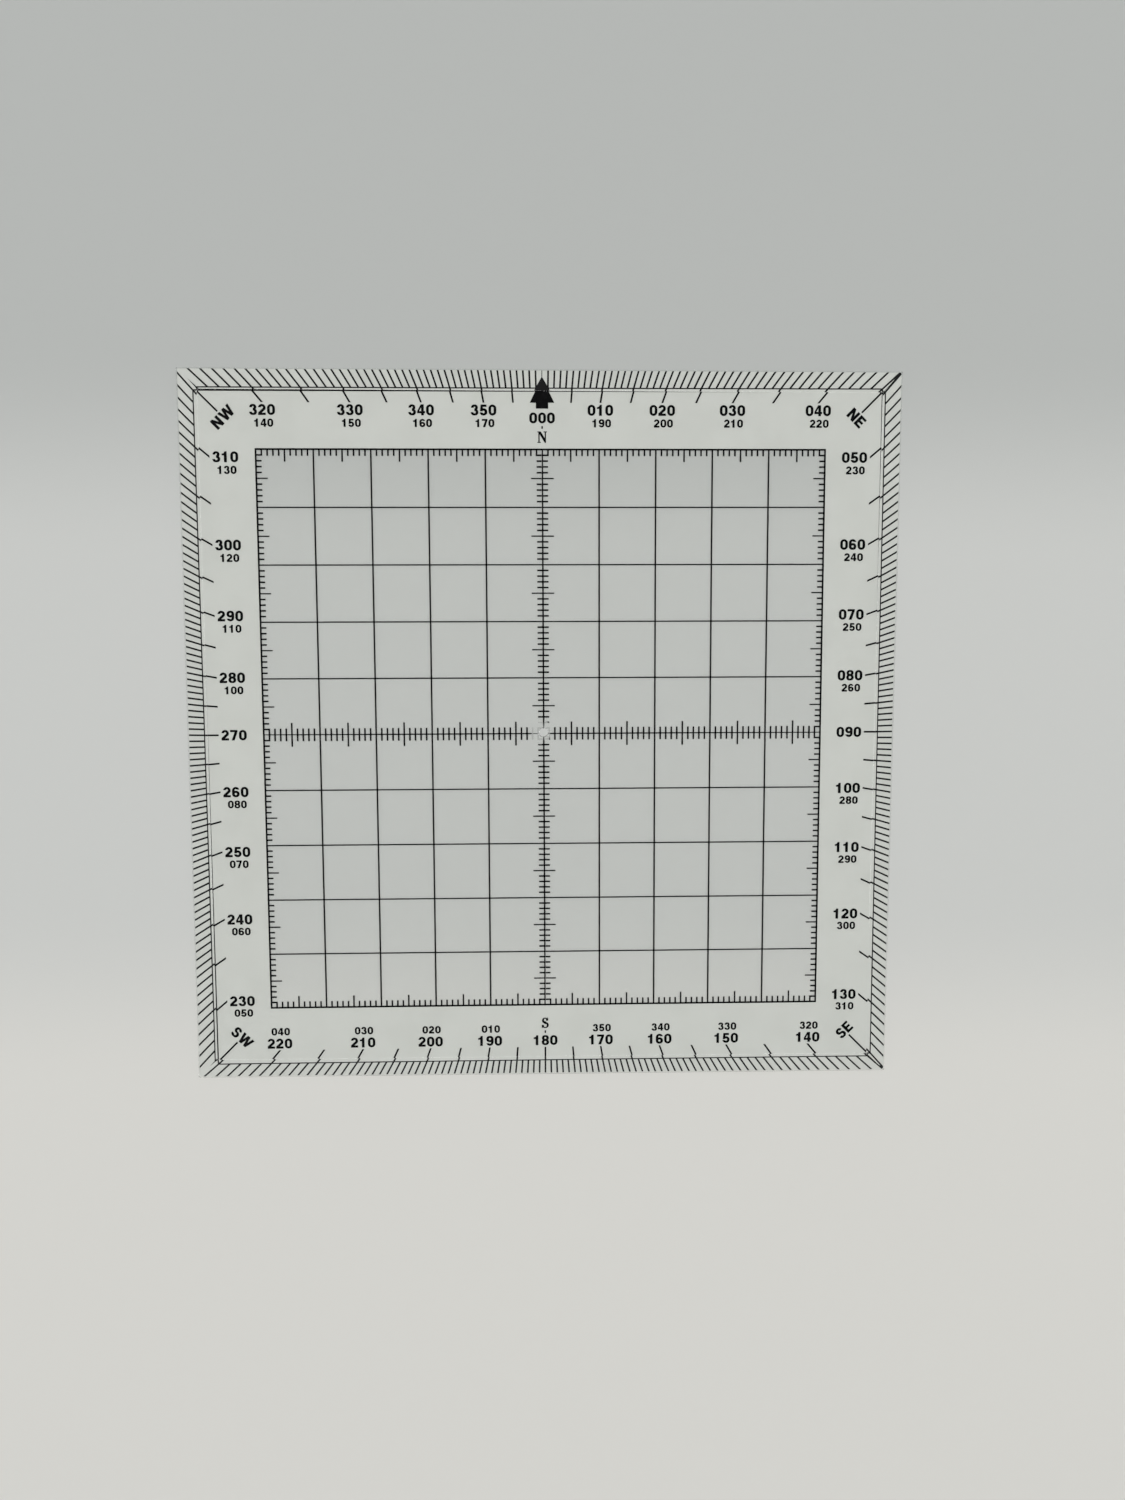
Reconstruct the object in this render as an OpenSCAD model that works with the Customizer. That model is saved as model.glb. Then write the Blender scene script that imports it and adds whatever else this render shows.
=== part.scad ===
// Square chart protractor for marine navigation. A clear plate with four bevelled edges
// and a hole in its middle carries all its marks on the underside, black ink first and a
// broad band of opaque pale ink behind it, out to the edge. Millimetres. +Z is up, +Y is
// north, and the origin is on the axis of the hole, at the lowest face of the print.

/* [Plate] */
// Side of the square plate
plate_side = 127; // [116:1:160]
// Thickness of the clear plate
plate_t = 3; // [2:0.1:6]
// Width of the sloping edge, seen from above
bevel_w = 4.2; // [2:0.1:8]
// Height of the upright edge left below the slope
edge_h = 0.8; // [0.4:0.1:1.6]
// Radius that softens the ridge between the flat face and the slope
ridge_r = 0.4; // [0.2:0.1:2]
// Diameter of the hole for a pencil point or a thread
hole_d = 1.6; // [0.8:0.1:3]

/* [Print on the plate] */
// Thickness of one film of ink
ink_t = 0.04; // [0.02:0.01:0.1]
// How far the print sits east of the middle of the plate
print_east = 0.05; // [-0.2:0.05:0.2]
// How far the print sits north of the middle of the plate
print_north = -0.25; // [-0.3:0.05:0.3]
// Turn of the print on the plate, anticlockwise in degrees
print_turn = 0.15; // [-0.15:0.05:0.15]
// Bare ring that the print leaves round the hole
hole_clear = 0.1; // [0.05:0.05:0.4]
// Bare rim that the print leaves along the edge of the plate
print_rim = 0.25; // [0.05:0.05:1]

/* [Degree scale] */
// Distance from the edge of the plate to the square line of the scale
scale_inset = 3.5; // [3:0.1:6]
// Width of the square line
scale_line = 0.24; // [0.1:0.01:0.4]
// Width of the degree marks
mark_line = 0.3; // [0.1:0.01:0.4]
// Reach of the marks at every 5 degrees, inside the square line
five_reach = 2; // [1:0.1:2.2]
// Reach of the marks at every 10 degrees, inside the square line
ten_reach = 2; // [1:0.1:2.2]
// Reach of the four corner lines inside the square line, measured along one side
corner_reach = 3.6; // [2:0.1:4]

/* [North arrow] */
// Width of the arrowhead at its base
arrow_w = 4.3; // [2.6:0.1:6]
// Length of the arrowhead from base to point
arrow_len = 4.3; // [3:0.1:4.5]
// Width of the stem below the arrowhead
stem_w = 2.15; // [1:0.05:2.4]
// Length of the stem
stem_len = 1; // [0.5:0.1:1.5]
// Width of the fine line from the point to the end of the scale
needle_line = 0.12; // [0.08:0.01:0.3]

/* [Numerals and letters] */
// Height of the bearing numerals
bearing_h = 1.87; // [1.4:0.01:2.2]
// Height of the smaller reciprocal numerals
reciprocal_h = 1.4; // [1:0.01:1.8]
// Gap between the inner end of a mark and the numeral below or above it
numeral_gap = 0.33; // [0.2:0.01:0.6]
// Gap between the inner end of a mark and the numeral beside it
side_gap = 0.5; // [0.3:0.01:1]
// Gap between a bearing and its reciprocal
row_gap = 0.6; // [0.3:0.01:0.9]
// How far the reciprocals sit east of their bearings
reciprocal_shift = 0.2; // [0:0.05:0.5]
// Height of the letters in the corners
corner_letter_h = 2; // [1.4:0.01:2.2]
// Gap between the end of a corner line and the letters
corner_letter_gap = 0.3; // [0.1:0.05:0.8]
// Height of the letters at the north and south marks
cardinal_h = 1.95; // [1.4:0.01:2.2]
// Length of the short dash between such a letter and its numeral
dash_len = 0.46; // [0.3:0.01:0.6]
// Width of that dash
dash_w = 0.26; // [0.15:0.01:0.4]
// Gap on each side of that dash
dash_gap = 0.46; // [0.2:0.01:0.5]

/* [Grid] */
// Width of the band that holds the numerals, from the square line to the clear window
band_w = 10; // [9.5:0.5:14]
// One small division of the grid
division = 1; // [0.8:0.1:2]
// Small divisions along the side of one grid square
divisions_per_square = 10; // [10:10:20]
// Length of the ticks at each small division
tick_len = 1; // [0.5:0.1:1.4]
// Length of the ticks at every fifth division
long_tick_len = 2; // [1.5:0.1:3]
// Width of the short ticks
tick_line = 0.27; // [0.1:0.01:0.4]
// Width of the lines and long ticks that run north
north_line = 0.26; // [0.1:0.01:0.4]
// Width of the lines and long ticks that run east
east_line = 0.21; // [0.1:0.01:0.4]
// Width of the outline of the window
outline_line = 0.3; // [0.15:0.01:0.5]

/* [Hidden] */
$fn = 48;

clear_acrylic = [0.86, 0.91, 0.9, 0.35];
black_ink = [0.05, 0.05, 0.06];
pale_ink = [0.8, 0.82, 0.79];

plate_half = plate_side / 2;
print_half = plate_half - print_rim;
scale_half = plate_half - scale_inset;
scale_outer = scale_half + scale_line / 2;
scale_inner = scale_half - scale_line / 2;
ten_end = scale_half - ten_reach;
five_end = scale_half - five_reach;
corner_end = scale_half - corner_reach;
window_half = scale_half - band_w;
window_inner = window_half - outline_line / 2;

// The ridge of the bevel, as an arc that meets the flat face and the slope
slope_angle = atan((plate_t - edge_h) / bevel_w);
ridge_tangent = ridge_r * tan(slope_angle / 2);
ridge_steps = 6;

// Small divisions on each side of the middle, and the grid lines, which stay clear of the
// ticks along the outline
last_tick = floor((window_inner - tick_line) / division);
last_line = floor((window_half - long_tick_len - north_line) / division);
tick_numbers = [for (i = [-last_tick:last_tick]) if (i % divisions_per_square != 0) i];
line_numbers = [for (i = [-last_line:last_line]) if (i % divisions_per_square == 0 && i != 0) i];
long_tick_every = 5;

// The marks are drawn past the edge of the plate, and cut where the print ends
mark_overrun = 1;
mark_end = plate_half + mark_overrun;

// Angles of the marks on one side of the square, from the middle of that side
side_angle = 45;
degree_angles = [for (a = [1 - side_angle:side_angle - 1]) a];
ten_angles = [for (a = degree_angles) if (a % 10 == 0) a];
five_angles = [for (a = degree_angles) if (a % 5 == 0 && a % 10 != 0) a];
first_bearings = [0, 90, 180, 270];
corner_ways = [[-1, 1], [1, 1], [1, -1], [-1, -1]];
full_circle = 360;
// The marks that a wide arrowhead can reach
marks_beside_arrow = [-2, -1, 1, 2];

// Proportions of the characters, as shares of their height
digit_w = 0.73;
digit_pitch = 0.83;
digit_stroke = 0.25;
digit_cap = 0.21;
letter_gap = 0.12;
number_w = 2 * digit_pitch + digit_w;
arrow_gap = 2 * numeral_gap;

// Rows of the numerals on the north and south sides
bearing_row = ten_end - numeral_gap - bearing_h / 2;
reciprocal_drop = bearing_h / 2 + row_gap + reciprocal_h / 2;
side_column = ten_end - side_gap - bearing_h * number_w / 2;

// ---- Placing the print ----

// A flat drawing as one film of ink, turned and shifted as the print is on the plate
module film(level) {
    translate([print_east, print_north, level * ink_t])
        rotate([0, 0, print_turn])
            linear_extrude(height = ink_t)
                children();
}

module black_film() {
    color(black_ink) film(1) children();
}

module pale_film() {
    color(pale_ink) film(0) children();
}

// The hole and its bare ring, seen from the print, with a flat across each line it cuts
module hole_clearing() {
    reach = hole_d / 2 + hole_clear;
    flat = reach * tan(side_angle / 2);
    rotate(-print_turn)
        translate([-print_east, -print_north])
            polygon([[reach, -flat], [reach, flat], [flat, reach], [-flat, reach],
                     [-reach, flat], [-reach, -flat], [-flat, -reach], [flat, -reach]]);
}

// All that lies outside the print, whose limits are square with the plate
module outside_the_print() {
    rotate(-print_turn)
        translate([-print_east, -print_north])
            difference() {
                square(2 * plate_side, center = true);
                square(2 * print_half, center = true);
            }
}

// A point of the plate, as the shifted and turned print has it
function on_the_print(x, y) =
    let (east = x - print_east, north = y - print_north)
        [east * cos(print_turn) + north * sin(print_turn),
         north * cos(print_turn) - east * sin(print_turn)];

module line_running_north(x, from, to, width) {
    translate([x - width / 2, from])
        square([width, to - from]);
}

module line_running_east(y, from, to, width) {
    translate([from, y - width / 2])
        square([to - from, width]);
}

// ---- Characters, one unit high, standing on y = 0 ----

module bar(x0, y0, x1, y1) {
    translate([x0, y0])
        square([x1 - x0, y1 - y0]);
}

// A box with fully round ends along its longer side, from a corner
module oblong(x, y, w, h) {
    r = min(w, h) / 2;
    translate([x + r, y + r])
        circle(r);
    translate([x + w - r, y + h - r])
        circle(r);
    if (w > h)
        bar(x + r, y, x + w - r, y + h);
    if (h > w)
        bar(x, y + r, x + w, y + h - r);
}

// A closed stroke round such a box
module bowl(x, y, w, h, side = digit_stroke, cap = digit_cap) {
    difference() {
        oblong(x, y, w, h);
        oblong(x + side, y + cap, w - 2 * side, h - 2 * cap);
    }
}

module zero() {
    bowl(0, 0, digit_w, 1);
}

module one() {
    polygon([[0.04, 0.63], [0.24, 0.63], [0.24, 0], [0.5, 0], [0.5, 1], [0.31, 1],
             [0.23, 0.83], [0.04, 0.78]]);
}

module two() {
    difference() {
        bowl(0, 0.32, 0.7, 0.68);
        polygon([[-0.1, 0.2], [-0.1, 0.7], [0.34, 0.7], [0.34, 0.66], [0.78, 0.42], [0.78, 0.2]]);
    }
    polygon([[0, 0], [0.7, 0], [0.7, 0.21], [0.34, 0.21], [0.65, 0.49], [0.45, 0.64],
             [0, 0.22]]);
}

module three() {
    difference() {
        union() {
            bowl(0.03, 0.45, 0.64, 0.55, digit_stroke, 0.19);
            bowl(0, 0, 0.72, 0.6, digit_stroke, 0.19);
        }
        bar(-0.1, 0.3, 0.34, 0.7);
    }
}

module four() {
    difference() {
        polygon([[0, 0.19], [0, 0.39], [0.34, 1], [0.62, 1], [0.62, 0.39], [0.73, 0.39],
                 [0.73, 0.19], [0.62, 0.19], [0.62, 0], [0.37, 0], [0.37, 0.19]]);
        polygon([[0.18, 0.39], [0.37, 0.39], [0.37, 0.73]]);
    }
}

module five() {
    difference() {
        bowl(0, 0, 0.72, 0.66);
        bar(-0.1, 0.28, 0.27, 0.7);
    }
    polygon([[0.03, 0.38], [0.29, 0.38], [0.3, 0.58], [0.31, 0.79], [0.65, 0.79], [0.65, 1],
             [0.1, 1]]);
}

module six() {
    bowl(0, 0, 0.72, 0.63);
    difference() {
        bowl(0, 0, 0.72, 1);
        bar(0.36, -0.1, 0.8, 0.74);
        bar(0.1, -0.1, 0.4, 0.5);
    }
}

module seven() {
    polygon([[0, 0.79], [0, 1], [0.7, 1], [0.7, 0.83], [0.4, 0], [0.12, 0], [0.42, 0.79]]);
}

module eight() {
    bowl(0.02, 0.45, 0.69, 0.55, digit_stroke, 0.175);
    bowl(0, 0, 0.73, 0.6, digit_stroke, 0.18);
}

module nine() {
    translate([digit_w, 1])
        rotate(180)
            six();
}

module digit(value) {
    if (value == 0) zero();
    if (value == 1) one();
    if (value == 2) two();
    if (value == 3) three();
    if (value == 4) four();
    if (value == 5) five();
    if (value == 6) six();
    if (value == 7) seven();
    if (value == 8) eight();
    if (value == 9) nine();
}

function digit_of(value, place) = floor(value / pow(10, 2 - place)) % 10;

// Three digits of one height, with their middle at x, y
module number(value, x, y, height) {
    translate([x, y])
        scale(height)
            for (place = [0:2])
                translate([(place - 1) * digit_pitch - digit_w / 2, -0.5])
                    digit(digit_of(value, place));
}

letter_n_w = 0.81;
letter_e_w = 0.7;
letter_s_w = 0.73;
letter_w_w = 1.28;

module letter_n() {
    polygon([[0, 0], [0, 1], [0.27, 1], [0.56, 0.45], [0.56, 1], [0.81, 1], [0.81, 0],
             [0.55, 0], [0.25, 0.56], [0.25, 0]]);
}

module letter_e() {
    polygon([[0, 0], [0, 1], [0.68, 1], [0.68, 0.79], [0.26, 0.79], [0.26, 0.61], [0.63, 0.61],
             [0.63, 0.4], [0.26, 0.4], [0.26, 0.21], [0.7, 0.21], [0.7, 0]]);
}

module letter_s() {
    difference() {
        bowl(0.03, 0.42, 0.66, 0.58, digit_stroke, 0.19);
        bar(0.37, 0.4, 0.9, 0.72);
    }
    difference() {
        bowl(0, 0, 0.73, 0.6, digit_stroke, 0.19);
        bar(-0.1, 0.28, 0.37, 0.7);
    }
}

module letter_w() {
    polygon([[0, 1], [0.26, 1], [0.38, 0.42], [0.51, 1], [0.77, 1], [0.9, 0.42], [1.02, 1],
             [1.28, 1], [1.03, 0], [0.77, 0], [0.64, 0.58], [0.51, 0], [0.25, 0]]);
}

serif_n_w = 0.86;
serif_s_w = 0.66;

// The two cardinal letters stand in a face with serifs
module serif_n() {
    polygon([[0, 0.92], [0, 1], [0.3, 1], [0.66, 0.42], [0.66, 0.92], [0.56, 0.92], [0.56, 1],
             [0.86, 1], [0.86, 0.92], [0.77, 0.92], [0.77, 0], [0.67, 0], [0.2, 0.75],
             [0.2, 0.08], [0.3, 0.08], [0.3, 0], [0, 0], [0, 0.08], [0.09, 0.08], [0.09, 0.92]]);
}

module serif_s() {
    difference() {
        bowl(0.02, 0.44, 0.58, 0.56, 0.2, 0.09);
        bar(0.3, 0.4, 0.9, 0.7);
    }
    difference() {
        bowl(0, 0, 0.66, 0.56, 0.2, 0.09);
        bar(-0.1, 0.3, 0.36, 0.7);
    }
    polygon([[0.06, 0.62], [0.28, 0.38], [0.62, 0.36], [0.38, 0.62], [0.18, 0.7]]);
    bar(0.52, 0.7, 0.6, 1);
    bar(0, 0, 0.08, 0.3);
}

// ---- The clear plate ----

// One sloping edge in section, from its foot up to where the flat face begins
function slope_points() = concat(
    [[plate_half, 0], [plate_half, edge_h]],
    [for (step = [0:ridge_steps])
        let (turn = slope_angle * (1 - step / ridge_steps))
            [plate_half - bevel_w - ridge_tangent + ridge_r * sin(turn),
             plate_t - ridge_r + ridge_r * cos(turn)]]
);

function mirrored(points) = [for (i = [len(points) - 1:-1:0]) [-points[i][0], points[i][1]]];

module section_along_y() {
    rotate([90, 0, 0])
        linear_extrude(height = plate_side, center = true)
            polygon(concat(slope_points(), mirrored(slope_points())));
}

module plate() {
    color(clear_acrylic)
        translate([0, 0, 2 * ink_t])
            difference() {
                intersection() {
                    section_along_y();
                    rotate([0, 0, 90])
                        section_along_y();
                }
                translate([0, 0, -plate_t])
                    cylinder(d = hole_d, h = 3 * plate_t);
            }
}

// ---- The pale band from the window to the edge, one strip to each side ----

window_corners = [for (way = corner_ways) window_half * way];
print_corners = [for (way = corner_ways) on_the_print(print_half * way[0], print_half * way[1])];

// A strip between one corner and the next, clockwise from the northwest
module border_strip(corner) {
    next = (corner + 1) % len(corner_ways);
    pale_film()
        polygon([window_corners[corner], window_corners[next],
                 print_corners[next], print_corners[corner]]);
}

module border_north() {
    border_strip(0);
}

module border_east() {
    border_strip(1);
}

module border_south() {
    border_strip(2);
}

module border_west() {
    border_strip(3);
}

// ---- The degree scale ----

// A mark on the north side at an angle from north, cut level at both ends
module mark(angle, from, to, width = mark_line) {
    spread = width / 2 / cos(angle);
    polygon([[from * tan(angle) - spread, from], [from * tan(angle) + spread, from],
             [to * tan(angle) + spread, to], [to * tan(angle) - spread, to]]);
}

// The same marks on all four sides, without the one that the north arrow takes
module marks_on_all_sides(angles, from, to) {
    for (bearing = first_bearings)
        rotate(-bearing)
            for (angle = angles)
                if (bearing != 0 || angle != 0)
                    mark(angle, from, to);
}

module square_line() {
    black_film()
        difference() {
            square(2 * scale_outer, center = true);
            square(2 * scale_inner, center = true);
        }
}

module degree_marks() {
    black_film()
        difference() {
            marks_on_all_sides(degree_angles, scale_outer, mark_end);
            outside_the_print();
        }
}

module five_degree_marks() {
    black_film()
        marks_on_all_sides(five_angles, five_end, scale_inner);
}

module ten_degree_marks() {
    black_film()
        marks_on_all_sides(ten_angles, ten_end, scale_inner);
}

// Each corner line is cut by the square line, and its outer end with the print
module corner_lines() {
    edge = mark_line / sqrt(2);
    black_film()
        difference() {
            for (bearing = first_bearings)
                rotate(-bearing) {
                    polygon([[scale_outer - edge, scale_outer], [scale_outer, scale_outer],
                             [scale_outer, scale_outer - edge], [mark_end, mark_end - edge],
                             [mark_end, mark_end], [mark_end - edge, mark_end]]);
                    polygon([[scale_inner - edge, scale_inner], [scale_inner, scale_inner],
                             [scale_inner, scale_inner - edge],
                             [corner_end + edge / 2, corner_end - edge / 2],
                             [corner_end - edge / 2, corner_end + edge / 2]]);
                }
            outside_the_print();
        }
}

// The arrow stands on the inner ends of the marks and runs out in a fine line
module north_arrow() {
    black_film()
        difference() {
            union() {
                polygon([[-arrow_w / 2, ten_end], [arrow_w / 2, ten_end], [0, ten_end + arrow_len]]);
                line_running_north(0, ten_end - stem_len, ten_end, stem_w);
                line_running_north(0, ten_end, mark_end, needle_line);
            }
            difference() {
                square(2 * scale_outer, center = true);
                square(2 * scale_inner, center = true);
            }
            for (angle = marks_beside_arrow)
                mark(angle, scale_outer, mark_end);
            outside_the_print();
        }
}

// ---- Numerals ----

function mark_place(angle) = ten_end * tan(angle);

function reciprocal_of(bearing) = (bearing + full_circle / 2) % full_circle;

module bearings_north() {
    black_film()
        for (angle = ten_angles)
            if (angle != 0)
                number((full_circle + angle) % full_circle, mark_place(angle), bearing_row, bearing_h);
}

module bearings_south() {
    black_film()
        for (angle = ten_angles)
            number(first_bearings[2] - angle, mark_place(angle), -bearing_row, bearing_h);
}

module bearings_east() {
    black_film()
        for (angle = ten_angles)
            number(first_bearings[1] + angle, side_column, -mark_place(angle), bearing_h);
}

module bearings_west() {
    black_film()
        for (angle = ten_angles)
            number(first_bearings[3] - angle, -side_column, -mark_place(angle), bearing_h);
}

// The reciprocals are left out at the four cardinal marks
module reciprocals_north() {
    black_film()
        for (angle = ten_angles)
            if (angle != 0)
                number(reciprocal_of(full_circle + angle), mark_place(angle) + reciprocal_shift,
                       bearing_row - reciprocal_drop, reciprocal_h);
}

module reciprocals_south() {
    black_film()
        for (angle = ten_angles)
            if (angle != 0)
                number(reciprocal_of(first_bearings[2] - angle), mark_place(angle) + reciprocal_shift,
                       reciprocal_drop - bearing_row, reciprocal_h);
}

module reciprocals_east() {
    black_film()
        for (angle = ten_angles)
            if (angle != 0)
                number(reciprocal_of(first_bearings[1] + angle), side_column + reciprocal_shift,
                       -mark_place(angle) - reciprocal_drop, reciprocal_h);
}

module reciprocals_west() {
    black_film()
        for (angle = ten_angles)
            if (angle != 0)
                number(reciprocal_of(first_bearings[3] - angle), reciprocal_shift - side_column,
                       -mark_place(angle) - reciprocal_drop, reciprocal_h);
}

// ---- Letters ----

// Two letters side by side, with their middle at the origin
module letter_pair(first_w, second_w, height) {
    scale(height)
        translate([-(first_w + letter_gap + second_w) / 2, -0.5]) {
            children(0);
            translate([first_w + letter_gap, 0])
                children(1);
        }
}

module corner_letters() {
    place = corner_end - (corner_letter_gap + corner_letter_h / 2) / sqrt(2);
    black_film() {
        translate([-place, place])
            rotate(side_angle)
                letter_pair(letter_n_w, letter_w_w, corner_letter_h) {
                    letter_n();
                    letter_w();
                }
        translate([place, place])
            rotate(-side_angle)
                letter_pair(letter_n_w, letter_e_w, corner_letter_h) {
                    letter_n();
                    letter_e();
                }
        translate([-place, -place])
            rotate(-side_angle)
                letter_pair(letter_s_w, letter_w_w, corner_letter_h) {
                    letter_s();
                    letter_w();
                }
        translate([place, -place])
            rotate(side_angle)
                letter_pair(letter_s_w, letter_e_w, corner_letter_h) {
                    letter_s();
                    letter_e();
                }
    }
}

// Below the arrow stand the numeral for north, a dash and the letter
module north_letter() {
    numeral_top = ten_end - stem_len - arrow_gap;
    dash_top = numeral_top - bearing_h - dash_gap;
    letter_base = dash_top - dash_len - dash_gap - cardinal_h;
    black_film() {
        number(0, 0, numeral_top - bearing_h / 2, bearing_h);
        line_running_north(0, dash_top - dash_len, dash_top, dash_w);
        translate([-serif_n_w / 2 * cardinal_h, letter_base])
            scale(cardinal_h)
                serif_n();
    }
}

module south_letter() {
    dash_base = -bearing_row + bearing_h / 2 + dash_gap;
    letter_base = dash_base + dash_len + dash_gap;
    black_film() {
        line_running_north(0, dash_base, dash_base + dash_len, dash_w);
        translate([-serif_s_w / 2 * cardinal_h, letter_base])
            scale(cardinal_h)
                serif_s();
    }
}

// ---- The window and its grid ----

function is_long(i) = i % long_tick_every == 0;

function tick_reach(i) = is_long(i) ? long_tick_len : tick_len;

function north_tick_w(i) = is_long(i) ? north_line : tick_line;

function east_tick_w(i) = is_long(i) ? east_line : tick_line;

module window_outline() {
    black_film()
        difference() {
            square(2 * window_half + outline_line, center = true);
            square(2 * window_inner, center = true);
        }
}

module lines_north() {
    for (i = line_numbers)
        line_running_north(i * division, -window_inner, window_inner, north_line);
}

module lines_east() {
    for (i = line_numbers)
        line_running_east(i * division, -window_inner, window_inner, east_line);
}

module middle_line_north() {
    line_running_north(0, -window_inner, window_inner, north_line);
}

module middle_line_east() {
    line_running_east(0, -window_inner, window_inner, east_line);
}

// A tick that runs north goes on by half its width, so that two that meet close the corner
module tick_running_north(i, edge) {
    reach = tick_reach(i) + (tick_line - outline_line) / 2;
    end = edge < 0 ? edge + reach : edge - reach;
    line_running_north(i * division, min(edge, end), max(edge, end), north_tick_w(i));
}

module tick_running_east(i, edge) {
    reach = tick_reach(i) - outline_line / 2;
    end = edge < 0 ? edge + reach : edge - reach;
    line_running_east(i * division, min(edge, end), max(edge, end), east_tick_w(i));
}

module ticks_along_north_edges() {
    for (i = tick_numbers, edge = [-window_inner, window_inner])
        tick_running_north(i, edge);
}

module ticks_across_middle_line_east() {
    for (i = tick_numbers)
        line_running_north(i * division, -tick_reach(i) - tick_line / 2,
                           tick_reach(i) + tick_line / 2, north_tick_w(i));
}

module grid_lines_north() {
    black_film()
        lines_north();
}

// What runs east is cut where something that runs north already lies
module grid_lines_east() {
    black_film()
        difference() {
            lines_east();
            lines_north();
            middle_line_north();
        }
}

module meridian() {
    black_film()
        difference() {
            middle_line_north();
            hole_clearing();
        }
}

module east_west_line() {
    black_film()
        difference() {
            middle_line_east();
            lines_north();
            middle_line_north();
            ticks_across_middle_line_east();
            hole_clearing();
        }
}

module east_west_line_ticks() {
    black_film()
        difference() {
            ticks_across_middle_line_east();
            hole_clearing();
        }
}

module meridian_ticks() {
    black_film()
        difference() {
            for (i = tick_numbers)
                line_running_east(i * division, -tick_reach(i), tick_reach(i), east_tick_w(i));
            middle_line_north();
            ticks_across_middle_line_east();
            ticks_along_north_edges();
            hole_clearing();
        }
}

module edge_ticks_north() {
    black_film()
        ticks_along_north_edges();
}

module edge_ticks_east() {
    black_film()
        difference() {
            for (i = tick_numbers, edge = [-window_inner, window_inner])
                tick_running_east(i, edge);
            ticks_along_north_edges();
            ticks_across_middle_line_east();
        }
}

plate();
border_north();
border_east();
border_south();
border_west();
square_line();
degree_marks();
five_degree_marks();
ten_degree_marks();
corner_lines();
north_arrow();
bearings_north();
bearings_east();
bearings_south();
bearings_west();
reciprocals_north();
reciprocals_east();
reciprocals_south();
reciprocals_west();
corner_letters();
north_letter();
south_letter();
window_outline();
grid_lines_north();
grid_lines_east();
meridian();
east_west_line();
meridian_ticks();
east_west_line_ticks();
edge_ticks_north();
edge_ticks_east();
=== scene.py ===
import math

import bpy
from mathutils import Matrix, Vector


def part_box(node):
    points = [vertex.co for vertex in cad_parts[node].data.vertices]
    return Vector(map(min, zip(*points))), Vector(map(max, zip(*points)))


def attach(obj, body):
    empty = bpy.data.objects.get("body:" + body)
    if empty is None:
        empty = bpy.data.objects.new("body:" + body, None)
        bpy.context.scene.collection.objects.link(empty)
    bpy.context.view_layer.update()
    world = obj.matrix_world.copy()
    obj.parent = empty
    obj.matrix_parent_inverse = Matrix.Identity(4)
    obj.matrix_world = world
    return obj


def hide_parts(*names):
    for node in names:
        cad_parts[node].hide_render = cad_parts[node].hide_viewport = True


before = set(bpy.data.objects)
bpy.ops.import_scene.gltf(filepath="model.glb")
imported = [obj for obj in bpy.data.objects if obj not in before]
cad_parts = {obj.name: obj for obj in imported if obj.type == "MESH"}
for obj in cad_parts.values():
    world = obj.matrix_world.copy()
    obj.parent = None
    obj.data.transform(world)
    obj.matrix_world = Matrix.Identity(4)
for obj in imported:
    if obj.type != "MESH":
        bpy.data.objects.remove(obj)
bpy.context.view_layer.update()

MM = 0.001

# ---- The clear plate ----
# One square of cast acrylic, sawn and milled to size. A cutter has sloped all four edges
# down to a thin upright land, and flame and cloth have softened the ridge. A small hole is
# drilled through the middle. The print below is bonded to it, with no air between them.

PLATE_LOW, PLATE_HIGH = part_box("plate")
PLATE_SIZES = {
    "Half side": PLATE_HIGH.x,
    "Underside": 0.035 * MM,
    "Top": PLATE_HIGH.z,
    "Land top": PLATE_LOW.z + 0.8 * MM,
    "Slope run": 4.2 * MM,
    "Ridge radius": 0.3 * MM,
    "Edge radius": 0.08 * MM,
    "Corner radius": 0.25 * MM,
    "Mitre radius": 0.06 * MM,
    "Hole radius": 0.8 * MM,
    "Lip radius": 0.12 * MM,
    "Arc steps": 4,
    "Corner steps": 4,
    "Side steps": 11,
}
SIDES = ("north", "east", "south", "west")
QUARTER_TURN = math.pi / 2
WELD_DISTANCE = 0.0001 * MM
# How far a face's normal points up: 1 on the face and the underside, 0 on the land
LEVEL_ABOVE, UPRIGHT_BELOW = 0.9999, 0.3


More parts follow.
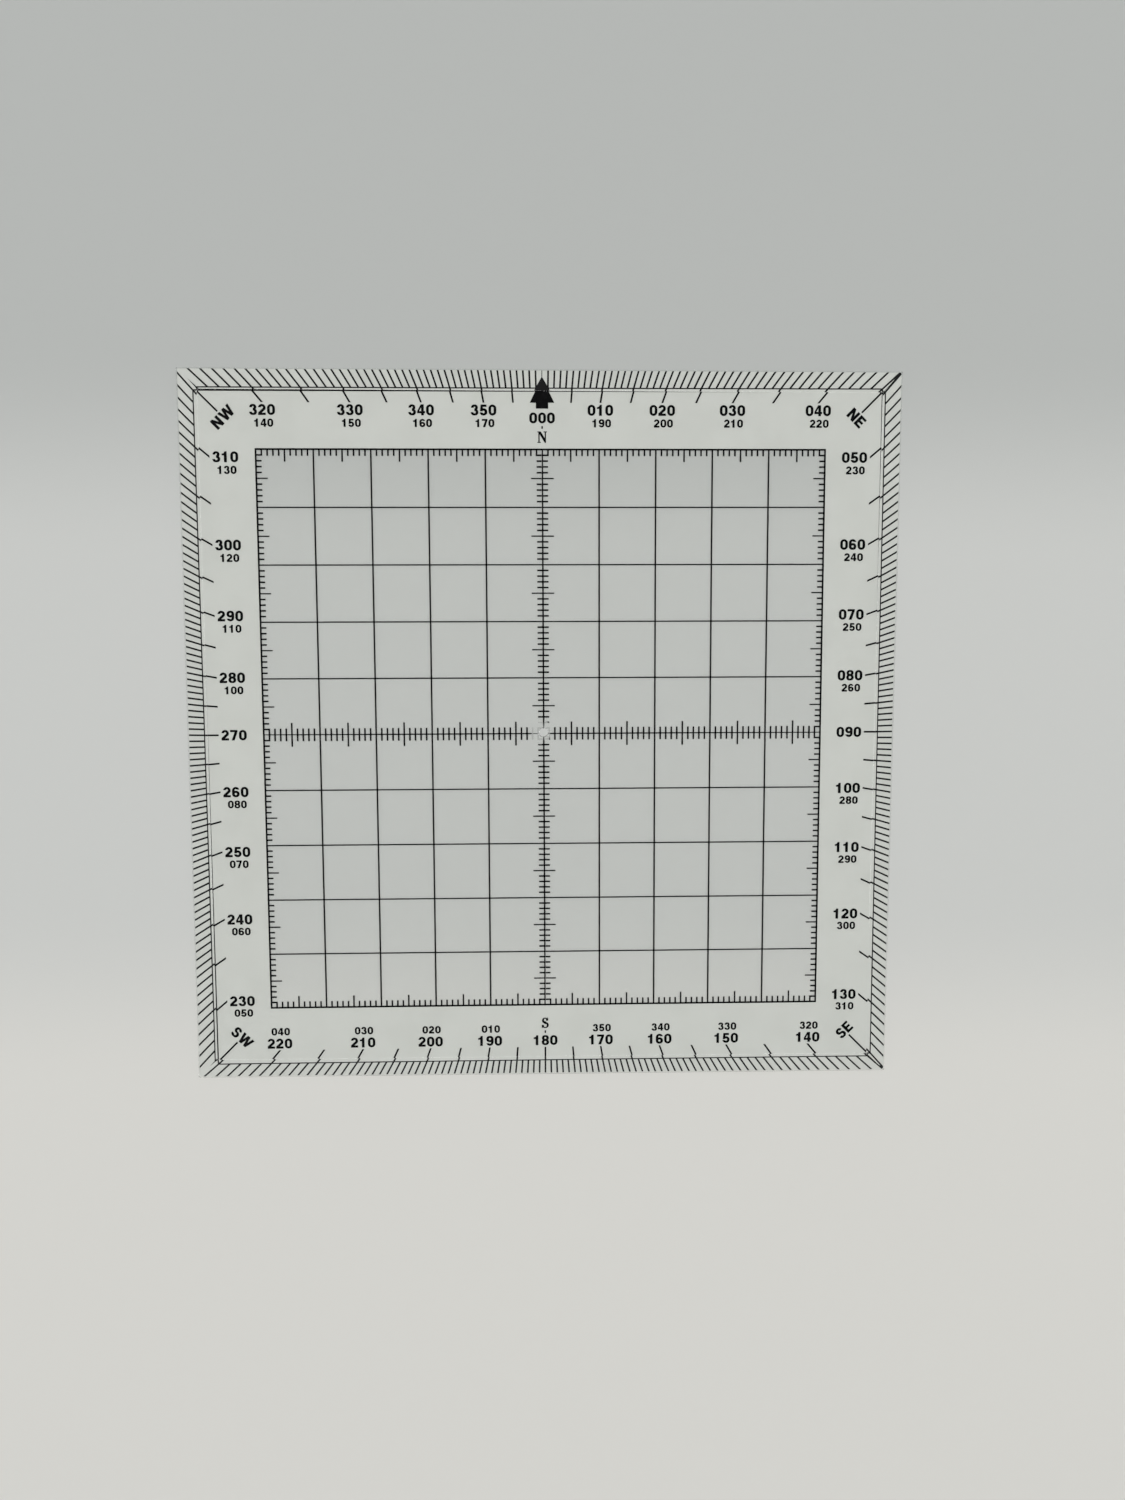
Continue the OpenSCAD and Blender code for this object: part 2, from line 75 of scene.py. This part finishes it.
class Wiring:
    """Nodes of one tree, added and joined in a line each."""

    MIX_SOCKETS = {"FLOAT": (2, 3, 0), "VECTOR": (4, 5, 1), "RGBA": (6, 7, 2)}

    def __init__(self, tree):
        self.tree = tree
        tree.nodes.clear()

    def add(self, kind, settings=(), **sockets):
        """A node with its settings, whose inputs get a value or another node's output."""
        node = self.tree.nodes.new(kind)
        for key, value in dict(settings).items():
            setattr(node, key, value)
        for key, value in sockets.items():
            self.feed(node.inputs[key.replace("_", " ")], value)
        return node

    def feed(self, socket, value):
        if isinstance(value, bpy.types.NodeSocket):
            self.tree.links.new(value, socket)
        else:
            socket.default_value = value

    def math(self, operation, first, second=None):
        node = self.tree.nodes.new("ShaderNodeMath")
        node.operation = operation
        self.feed(node.inputs[0], first)
        if second is not None:
            self.feed(node.inputs[1], second)
        return node.outputs[0]

    def vector_math(self, operation, first, second=None):
        node = self.tree.nodes.new("ShaderNodeVectorMath")
        node.operation = operation
        self.feed(node.inputs[0], first)
        if second is not None:
            self.feed(node.inputs["Scale" if operation == "SCALE" else 1], second)
        return node.outputs["Value" if operation == "LENGTH" else "Vector"]

    def point(self, x, y, z):
        return self.add("ShaderNodeCombineXYZ", X=x, Y=y, Z=z).outputs["Vector"]

    def parts(self, vector):
        """The X, Y and Z of a vector, by name."""
        return self.add("ShaderNodeSeparateXYZ", Vector=vector).outputs

    def by_index(self, kind, fields):
        """The first field at the first point, the second at the next, and so on."""
        node = self.add("GeometryNodeIndexSwitch", {"data_type": kind})
        while len(node.index_switch_items) < len(fields):
            node.index_switch_items.new()
        self.feed(node.inputs["Index"], self.add("GeometryNodeInputIndex").outputs["Index"])
        for socket, field in zip(list(node.inputs)[1:], fields):
            self.feed(socket, field)
        return node.outputs["Output"]

    def between(self, value, low, high, out_low=0.0, out_high=1.0):
        """The value's place between low and high, eased, as a number from out_low to out_high."""
        node = self.add(
            "ShaderNodeMapRange",
            {"interpolation_type": "SMOOTHSTEP"},
            Value=value,
            From_Min=low,
            From_Max=high,
            To_Min=out_low,
            To_Max=out_high,
        )
        return node.outputs["Result"]

    def mix(self, kind, share, first, second):
        """Two numbers, vectors or colours mixed by a share, where 0 is all of the first."""
        node = self.add("ShaderNodeMix", {"data_type": kind})
        first_input, second_input, output = self.MIX_SOCKETS[kind]
        self.feed(node.inputs[0], share)
        self.feed(node.inputs[first_input], first)
        self.feed(node.inputs[second_input], second)
        return node.outputs[output]

    def mix_shaders(self, share, first, second):
        node = self.add("ShaderNodeMixShader")
        self.feed(node.inputs[0], share)
        self.feed(node.inputs[1], first)
        self.feed(node.inputs[2], second)
        return node.outputs[0]

    def place(self, turn=0.0, stretch=(1.0, 1.0, 1.0), shift=(0.0, 0.0, 0.0)):
        """Object coordinates, turned by degrees about the upright axis, stretched, shifted."""
        coordinates = self.add("ShaderNodeTexCoord").outputs["Object"]
        mapping = self.add("ShaderNodeMapping", Vector=coordinates)
        mapping.inputs["Location"].default_value = shift
        mapping.inputs["Rotation"].default_value = (0.0, 0.0, math.radians(turn))
        mapping.inputs["Scale"].default_value = stretch
        return mapping.outputs["Vector"]

    def noise(self, vector, scale, detail=2.0, roughness=0.5):
        node = self.add(
            "ShaderNodeTexNoise",
            Vector=vector,
            Scale=scale,
            Detail=detail,
            Roughness=roughness,
        )
        return node.outputs["Fac"]


class Finish(Wiring):
    """The nodes of one material."""

    def __init__(self, name):
        self.material = bpy.data.materials.new(name)
        self.material.use_nodes = True
        super().__init__(self.material.node_tree)

    def finish(self, shader):
        output = self.add("ShaderNodeOutputMaterial")
        self.feed(output.inputs["Surface"], shader)
        return self.material


ACRYLIC_INDEX = 1.49
ACRYLIC_TINT = (0.975, 0.982, 0.975, 1.0)
LIGHT_THROUGH = (0.965, 0.968, 0.965, 1.0)
SCRATCH_STRETCH = (90.0, 9000.0, 90.0)
SCRATCH_DEPTH = 0.002 * MM
SCRATCH_ROUGHNESS = 0.12
MILLING_SCALE = 2600.0
# Three sets of scratches: the way they run in degrees, their seed, and how rare they are
SCRATCHES = ((12.0, 3.1, 0.52), (71.0, 7.7, 0.55), (-38.0, 1.9, 0.58))


def hairlines(wiring, turn, seed, rarity):
    """Fine straight scratches that run one way, broken into short lengths."""
    along = wiring.place(turn, SCRATCH_STRETCH, (seed, seed, 0.0))
    lines = wiring.between(wiring.noise(along, scale=1.0, detail=1.0), low=0.72, high=0.78)
    patches = wiring.noise(wiring.place(turn, shift=(seed, 0.0, 0.0)), scale=60.0)
    return wiring.math("MULTIPLY", lines, wiring.between(patches, rarity, rarity + 0.1))


def clear_acrylic(name, roughness=0.0, tool_marks=0.0):
    """Clear acrylic that bends what is seen through it and lets the lamps shine through."""
    wiring = Finish(name)
    scratches = 0.0
    for turn, seed, rarity in SCRATCHES:
        scratches = wiring.math("MAXIMUM", scratches, hairlines(wiring, turn, seed, rarity))
    height = wiring.math("MULTIPLY", scratches, -1.0)
    if tool_marks:
        milling = wiring.noise(
            wiring.place(stretch=(1.0, 1.0, 0.2)), scale=MILLING_SCALE, detail=3.0
        )
        height = wiring.math("ADD", height, wiring.math("MULTIPLY", milling, tool_marks))
    bump = wiring.add("ShaderNodeBump", Strength=0.12, Distance=SCRATCH_DEPTH, Height=height)
    glass = wiring.add(
        "ShaderNodeBsdfPrincipled",
        Base_Color=ACRYLIC_TINT,
        Roughness=wiring.between(
            scratches, 0.0, 1.0, roughness, roughness + SCRATCH_ROUGHNESS
        ),
        IOR=ACRYLIC_INDEX,
        Transmission_Weight=1.0,
        Normal=bump.outputs["Normal"],
    ).outputs["BSDF"]
    through = wiring.add("ShaderNodeBsdfTransparent", Color=LIGHT_THROUGH).outputs["BSDF"]
    rays = wiring.add("ShaderNodeLightPath").outputs
    for_lamps = wiring.mix_shaders(rays["Is Shadow Ray"], glass, through)
    return wiring.finish(wiring.mix_shaders(rays["Is Diffuse Ray"], for_lamps, through))


def plate_tree():
    """The section of the plate, rounded at its five corners and carried round the square."""
    tree = bpy.data.node_groups.new("section_round_the_square", "GeometryNodeTree")
    for name, value in PLATE_SIZES.items():
        kind = "NodeSocketInt" if isinstance(value, int) else "NodeSocketFloat"
        tree.interface.new_socket(name, in_out="INPUT", socket_type=kind)
    tree.interface.new_socket("Plate", in_out="OUTPUT", socket_type="NodeSocketGeometry")
    wiring = Wiring(tree)
    given = wiring.add("NodeGroupInput").outputs
    index = wiring.add("GeometryNodeInputIndex").outputs["Index"]
    position = wiring.add("GeometryNodeInputPosition").outputs["Position"]

    ridge = wiring.math("SUBTRACT", given["Half side"], given["Slope run"])
    section_corners = (
        (given["Hole radius"], given["Underside"], given["Lip radius"]),
        (given["Half side"], given["Underside"], given["Edge radius"]),
        (given["Half side"], given["Land top"], given["Edge radius"]),
        (ridge, given["Top"], given["Ridge radius"]),
        (given["Hole radius"], given["Top"], given["Lip radius"]),
    )
    points = [wiring.point(out, 0.0, up) for out, up, _ in section_corners]
    radii = [radius for _, _, radius in section_corners]
    section = wiring.add("GeometryNodeMeshLine", Count=len(points)).outputs["Mesh"]
    section = wiring.add(
        "GeometryNodeSetPosition", Geometry=section, Position=wiring.by_index("VECTOR", points)
    ).outputs["Geometry"]
    section = wiring.add("GeometryNodeMeshToCurve", Mesh=section).outputs["Curve"]
    section = wiring.add(
        "GeometryNodeSetSplineCyclic", Geometry=section, Cyclic=True
    ).outputs["Geometry"]
    section = wiring.add(
        "GeometryNodeFilletCurve",
        {"mode": "POLY"},
        Curve=section,
        Count=given["Arc steps"],
        Radius=wiring.by_index("FLOAT", radii),
    ).outputs["Curve"]

    # A sheet of points, one column for each place round the square and one row for each
    # place along the section, whose first and last columns and rows are welded at the end
    levels = wiring.add(
        "GeometryNodeAttributeDomainSize", {"component": "CURVE"}, Geometry=section
    ).outputs["Point Count"]
    in_column = wiring.math("ADD", levels, 1.0)
    side_spans = wiring.math("ADD", given["Side steps"], 1.0)
    on_side = wiring.math("ADD", given["Corner steps"], side_spans)
    columns = wiring.math("ADD", wiring.math("MULTIPLY", on_side, len(SIDES)), 1.0)
    sheet = wiring.add(
        "GeometryNodeMeshGrid", Vertices_X=columns, Vertices_Y=in_column
    ).outputs["Mesh"]
    column = wiring.math("FLOOR", wiring.math("DIVIDE", index, in_column))
    row = wiring.math("SUBTRACT", index, wiring.math("MULTIPLY", column, in_column))
    sampled = wiring.add(
        "GeometryNodeSampleIndex", {"data_type": "FLOAT_VECTOR"}, Geometry=section
    )
    wiring.feed(sampled.inputs["Value"], position)
    wiring.feed(sampled.inputs["Index"], wiring.math("MODULO", row, levels))
    place = wiring.parts(sampled.outputs["Value"])

    # Each corner of the square is an arc, wide at the land and tight up the mitre
    rim = wiring.math(
        "SUBTRACT", given["Half side"], wiring.math("MULTIPLY", given["Edge radius"], 2.0)
    )
    corner = wiring.mix(
        "FLOAT",
        wiring.math("GREATER_THAN", place["X"], rim),
        given["Mitre radius"],
        given["Corner radius"],
    )
    straight = wiring.math("SUBTRACT", place["X"], corner)
    side = wiring.math("FLOOR", wiring.math("DIVIDE", column, on_side))
    step = wiring.math("SUBTRACT", column, wiring.math("MULTIPLY", side, on_side))
    round_share = wiring.math("DIVIDE", step, given["Corner steps"])
    round_share = wiring.math("MINIMUM", round_share, 1.0)
    bend = wiring.math("MULTIPLY", round_share, QUARTER_TURN)
    past_corner = wiring.math("SUBTRACT", step, given["Corner steps"])
    past_corner = wiring.math("MAXIMUM", past_corner, 0.0)
    side_share = wiring.math("DIVIDE", past_corner, side_spans)
    along = wiring.math("SUBTRACT", 1.0, wiring.math("MULTIPLY", side_share, 2.0))
    on_square = wiring.point(
        wiring.math(
            "ADD",
            wiring.math("MULTIPLY", straight, along),
            wiring.math("MULTIPLY", corner, wiring.math("COSINE", bend)),
        ),
        wiring.math(
            "ADD", straight, wiring.math("MULTIPLY", corner, wiring.math("SINE", bend))
        ),
        0.0,
    )
    on_circle = wiring.vector_math(
        "SCALE", wiring.vector_math("NORMALIZE", on_square), place["X"]
    )
    at_hole = wiring.math(
        "LESS_THAN", place["X"], wiring.math("MULTIPLY", given["Hole radius"], 2.0)
    )
    turned = wiring.add(
        "ShaderNodeVectorRotate",
        {"rotation_type": "Z_AXIS"},
        Vector=wiring.mix("VECTOR", at_hole, on_square, on_circle),
        Angle=wiring.math("MULTIPLY", side, QUARTER_TURN),
    )
    lifted = wiring.vector_math(
        "ADD", turned.outputs["Vector"], wiring.point(0.0, 0.0, place["Z"])
    )
    plate = wiring.add(
        "GeometryNodeSetPosition", Geometry=sheet, Position=lifted
    ).outputs["Geometry"]
    plate = wiring.add(
        "GeometryNodeMergeByDistance", Geometry=plate, Distance=WELD_DISTANCE
    ).outputs["Geometry"]
    plate = wiring.add("GeometryNodeRealizeInstances", Geometry=plate).outputs["Geometry"]

    # The land and the hole's wall stand upright, and only there is the acrylic left as cut
    facing = wiring.parts(wiring.add("GeometryNodeInputNormal").outputs["Normal"])
    up = wiring.math("ABSOLUTE", facing["Z"])
    upright = wiring.math("LESS_THAN", up, UPRIGHT_BELOW)
    for material, where in ((acrylic_polished, True), (acrylic_sawn, upright)):
        plate = wiring.add(
            "GeometryNodeSetMaterial", Geometry=plate, Selection=where, Material=material
        ).outputs["Geometry"]
    output = wiring.add("NodeGroupOutput")
    wiring.feed(output.inputs["Plate"], plate)
    return tree


def made_by(name, tree, sizes):
    """A plain mesh made by the tree, with those sizes fed to its inputs."""
    piece = bpy.data.objects.new(name, bpy.data.meshes.new(name))
    bpy.context.scene.collection.objects.link(piece)
    modifier = piece.modifiers.new(name, "NODES")
    modifier.node_group = tree
    for socket in tree.interface.items_tree:
        if socket.in_out == "INPUT":
            modifier[socket.identifier] = sizes[socket.name]
    made = piece.evaluated_get(bpy.context.evaluated_depsgraph_get())
    mesh = bpy.data.meshes.new_from_object(made)
    piece.modifiers.clear()
    piece.data = mesh
    return piece


def smooth_the_roundings(piece, slope_up, close=0.001):
    """The face, underside, slopes and land stay flat. What is round is shaded smooth."""
    for polygon in piece.data.polygons:
        facing = polygon.normal
        up = abs(facing.z)
        level = up > LEVEL_ABOVE
        slope = abs(up - slope_up) < close
        at_rim = polygon.center.length > PLATE_SIZES["Hole radius"] * 2
        square_on = max(abs(facing.x), abs(facing.y)) > LEVEL_ABOVE
        land = up < close and at_rim and square_on
        polygon.use_smooth = not (level or slope or land)


acrylic_polished = clear_acrylic("acrylic_polished")
acrylic_sawn = clear_acrylic("acrylic_sawn", roughness=0.02, tool_marks=0.3)
plate = made_by("clear_plate", plate_tree(), PLATE_SIZES)
slope_rise = PLATE_SIZES["Top"] - PLATE_SIZES["Land top"]
slope_angle = math.atan2(slope_rise, PLATE_SIZES["Slope run"])
smooth_the_roundings(plate, math.cos(slope_angle))
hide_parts("plate")
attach(plate, "root")

# ---- The black print ----
# Black ink is screened onto the underside first, mirror-wise, so that it reads right
# through the plate. It is dense and a little matt, and pins and pencils have rubbed it
# away round the hole.

BLACK = (0.0012, 0.0012, 0.0014, 1.0)
BLACK_THIN = (0.004, 0.004, 0.0045, 1.0)


def black_ink(wiring):
    """A dense film with faint cloudy thin places."""
    cloud = wiring.noise(wiring.place(), scale=900.0, detail=4.0, roughness=0.6)
    thin = wiring.between(cloud, low=0.5, high=0.75)
    return wiring.add(
        "ShaderNodeBsdfPrincipled",
        Base_Color=wiring.mix("RGBA", thin, BLACK, BLACK_THIN),
        Roughness=wiring.between(cloud, 0.3, 0.7, out_low=0.38, out_high=0.55),
        Specular_IOR_Level=0.05,
    ).outputs["BSDF"]


def whole_ink(name):
    """Ink that nothing has rubbed."""
    wiring = Finish(name)
    return wiring.finish(black_ink(wiring))


PRINT_LOW, PRINT_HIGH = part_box("square_line")
PRINT_MIDDLE = dict(zip("XYZ", (PRINT_LOW + PRINT_HIGH) / 2))
WORN_X, WORN_Y = -0.6 * MM, 0.1 * MM
WORN_REACH, WORN_FADE = 2.1 * MM, 0.25 * MM
WORN_RAGGED = 1.2 * MM
THINNED_FROM, THINNED_TO = 1.2 * MM, 2.6 * MM
MERIDIAN_HALF_WIDTH = 0.13 * MM
CROSS_LINE_HALF_WIDTH = 0.105 * MM


def worn_ink(name, left_near, across=None, half_width=0.0):
    """Ink rubbed off near the hole, where only a share of it is left. A line is worn thin
    there too, from its half width across the axis that is given."""
    wiring = Finish(name)
    from_wear = wiring.parts(wiring.place(shift=(-WORN_X, -WORN_Y, 0.0)))
    distance = wiring.vector_math("LENGTH", wiring.point(from_wear["X"], from_wear["Y"], 0.0))
    ragged = wiring.noise(wiring.place(), scale=1100.0, detail=3.0, roughness=0.6)
    ragged = wiring.math("MULTIPLY", wiring.math("SUBTRACT", ragged, 0.5), WORN_RAGGED)
    reach = wiring.math("ADD", distance, ragged)
    kept = wiring.between(reach, WORN_REACH, WORN_REACH + WORN_FADE, out_low=left_near)
    if across:
        here = wiring.parts(wiring.place())[across]
        off = wiring.math("ABSOLUTE", wiring.math("SUBTRACT", here, PRINT_MIDDLE[across]))
        left_width = wiring.between(
            reach, THINNED_FROM, THINNED_TO, half_width * 0.45, half_width * 1.6
        )
        kept = wiring.math("MULTIPLY", kept, wiring.math("LESS_THAN", off, left_width))
    gone = wiring.add("ShaderNodeBsdfTransparent").outputs["BSDF"]
    return wiring.finish(wiring.mix_shaders(kept, gone, black_ink(wiring)))


def dress(nodes, material):
    """CAD pieces whose shape is right keep it and get a better finish."""
    for node in nodes:
        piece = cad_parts[node]
        piece.data.materials.clear()
        piece.data.materials.append(material)


worn_meridian = worn_ink("black_ink_worn_meridian", 0.8, "X", MERIDIAN_HALF_WIDTH)
worn_cross_line = worn_ink("black_ink_worn_cross_line", 0.8, "Y", CROSS_LINE_HALF_WIDTH)
worn_ticks = worn_ink("black_ink_worn_ticks", 0.06)
dress(["meridian"], worn_meridian)
dress(["east_west_line"], worn_cross_line)
dress(["meridian_ticks", "east_west_line_ticks"], worn_ticks)

SCALE_MARKS = ["square_line", "degree_marks", "five_degree_marks", "ten_degree_marks"]
SCALE_MARKS += ["corner_lines", "north_arrow"]
NUMERALS = [f"{kind}_{side}" for kind in ("bearings", "reciprocals") for side in SIDES]
LETTERS = ["corner_letters", "north_letter", "south_letter"]
GRID = ["window_outline", "grid_lines_north", "grid_lines_east"]
GRID += ["edge_ticks_north", "edge_ticks_east"]
dress(SCALE_MARKS + NUMERALS + LETTERS + GRID, whole_ink("black_ink"))

# ---- The pale band ----
# Opaque pale ink is screened over the black from the window out to the edge of the plate.
# It backs the numerals and the degree marks, so that they read over any chart.

PALE = (0.635, 0.648, 0.61, 1.0)
PALE_THIN = (0.61, 0.623, 0.585, 1.0)
PALE_GRAIN_DEPTH = 0.005 * MM


def pale_ink(name):
    """A film with broad thin places and a fine grain."""
    wiring = Finish(name)
    coverage = wiring.noise(wiring.place(), scale=140.0, detail=4.0, roughness=0.55)
    thin = wiring.between(coverage, low=0.35, high=0.7)
    grain = wiring.noise(wiring.place(), scale=2400.0)
    film = wiring.add("ShaderNodeBump", Strength=0.15, Distance=PALE_GRAIN_DEPTH, Height=grain)
    pale = wiring.add(
        "ShaderNodeBsdfPrincipled",
        Base_Color=wiring.mix("RGBA", thin, PALE, PALE_THIN),
        Roughness=wiring.between(grain, 0.3, 0.7, out_low=0.5, out_high=0.62),
        Specular_IOR_Level=0.2,
        Normal=film.outputs["Normal"],
    )
    return wiring.finish(pale.outputs["BSDF"])


dress([f"border_{side}" for side in SIDES], pale_ink("pale_ink"))

# ---- The table, the lamps and the camera ----
# The plate lies print down on a pale sheet whose colour carries painted shade to the north and
# painted light to the south.
# Wide soft lamps stand well to the sides, so that the flat face mirrors only the dark ceiling and
# the far slope catches a lamp.

FLOOR_HALF = 1.6
FLOOR_LEVEL = -0.02 * MM
FLOOR_COLOUR = (0.6, 0.61, 0.59, 1.0)
# Painted shade and painted light: the sheet's colour is darker to the north and lighter to the
# south, as if the lamps lit it unevenly
FLOOR_FAR_PAINTED_SHADE = (0.48, 0.495, 0.48, 1.0)
FLOOR_NEAR_PAINTED_LIGHT = (0.69, 0.685, 0.65, 1.0)
# Distances from the hole, northwards, at which the painted shade and the painted light begin and
# end
PAINTED_SHADE_SPAN = (30 * MM, 68 * MM)
PAINTED_LIGHT_SPAN = (-30 * MM, -66 * MM)
FLOOR_FADES = (0.35, 0.9)
HORIZON = (0.5, 0.505, 0.495, 1.0)
CEILING = (0.018, 0.018, 0.019, 1.0)
DARKEST_ABOVE = 0.6
BACKDROP = (0.585, 0.595, 0.575, 1.0)


def floor_sheet_painted_light_and_shade(name):
    """A matt sheet with painted shade far off and painted light near, that fades into the
    backdrop.
    """
    wiring = Finish(name)
    here = wiring.place()
    north = wiring.parts(here)["Y"]
    # Painted shade towards the north, then painted light towards the south
    painted_floor_light_and_shade = wiring.mix("RGBA", wiring.between(north, *PAINTED_SHADE_SPAN), FLOOR_COLOUR, FLOOR_FAR_PAINTED_SHADE)
    painted_floor_light_and_shade = wiring.mix("RGBA", wiring.between(north, *PAINTED_LIGHT_SPAN), painted_floor_light_and_shade, FLOOR_NEAR_PAINTED_LIGHT)
    sheet = wiring.add(
        "ShaderNodeBsdfPrincipled", Base_Color=painted_floor_light_and_shade, Roughness=0.9, Specular_IOR_Level=0.1
    )
    beyond = wiring.add("ShaderNodeBsdfTransparent")
    faded = wiring.between(wiring.vector_math("LENGTH", here), *FLOOR_FADES)
    return wiring.finish(
        wiring.mix_shaders(faded, sheet.outputs["BSDF"], beyond.outputs["BSDF"])
    )


floor_mesh = bpy.data.meshes.new("floor")
floor_corners = [
    (east * FLOOR_HALF, north * FLOOR_HALF, FLOOR_LEVEL)
    for east, north in ((-1, -1), (1, -1), (1, 1), (-1, 1))
]
floor_mesh.from_pydata(floor_corners, [], [(0, 1, 2, 3)])
floor_mesh.materials.append(floor_sheet_painted_light_and_shade("floor_sheet_painted_light_and_shade"))
floor = bpy.data.objects.new("floor", floor_mesh)
bpy.context.scene.collection.objects.link(floor)

world = bpy.data.worlds.new("studio")
bpy.context.scene.world = world
world.use_nodes = True
wiring = Wiring(world.node_tree)
direction = wiring.parts(wiring.add("ShaderNodeTexCoord").outputs["Generated"])
overhead = wiring.between(direction["Z"], 0.0, DARKEST_ABOVE)
studio = wiring.mix("RGBA", overhead, HORIZON, CEILING)
rays = wiring.add("ShaderNodeLightPath").outputs
seen = wiring.math("MAXIMUM", rays["Is Camera Ray"], rays["Is Transmission Ray"])
background = wiring.add(
    "ShaderNodeBackground", Color=wiring.mix("RGBA", seen, studio, BACKDROP), Strength=1.0
)
world_output = wiring.add("ShaderNodeOutputWorld")
wiring.feed(world_output.inputs["Surface"], background.outputs["Background"])


def soft_lamp(name, place, width, height, watts):
    """A wide lamp that faces the middle of the plate."""
    light = bpy.data.lights.new(name, "AREA")
    light.shape = "RECTANGLE"
    light.size = width
    light.size_y = height
    light.energy = watts
    lamp = bpy.data.objects.new(name, light)
    lamp.location = place
    lamp.rotation_euler = (-lamp.location).to_track_quat("-Z", "Y").to_euler()
    bpy.context.scene.collection.objects.link(lamp)


soft_lamp("lamp_west", place=(-0.75, 0.1, 0.75), width=0.8, height=0.7, watts=4.85)
soft_lamp("lamp_east", place=(0.75, 0.1, 0.75), width=0.8, height=0.7, watts=4.85)
soft_lamp("lamp_south", place=(0.0, -0.8, 0.8), width=0.9, height=0.6, watts=4.1)
soft_lamp("lamp_north", place=(0.0, 0.8, 0.8), width=0.9, height=0.6, watts=3.3)

CAMERA_PLACE = (-1.15 * MM, 12.668 * MM, 184.302 * MM)
CAMERA_TURN = (math.radians(-4.9575), math.radians(-1.4349), math.radians(-0.0625))

camera_data = bpy.data.cameras.new("camera")
camera_data.sensor_fit = "VERTICAL"
camera_data.sensor_height = 36.0
camera_data.lens = 24.504
camera_data.clip_start = 0.01
camera = bpy.data.objects.new("camera", camera_data)
camera.location = CAMERA_PLACE
camera.rotation_euler = CAMERA_TURN
bpy.context.scene.collection.objects.link(camera)
bpy.context.scene.camera = camera
bpy.context.scene.view_settings.view_transform = "Standard"
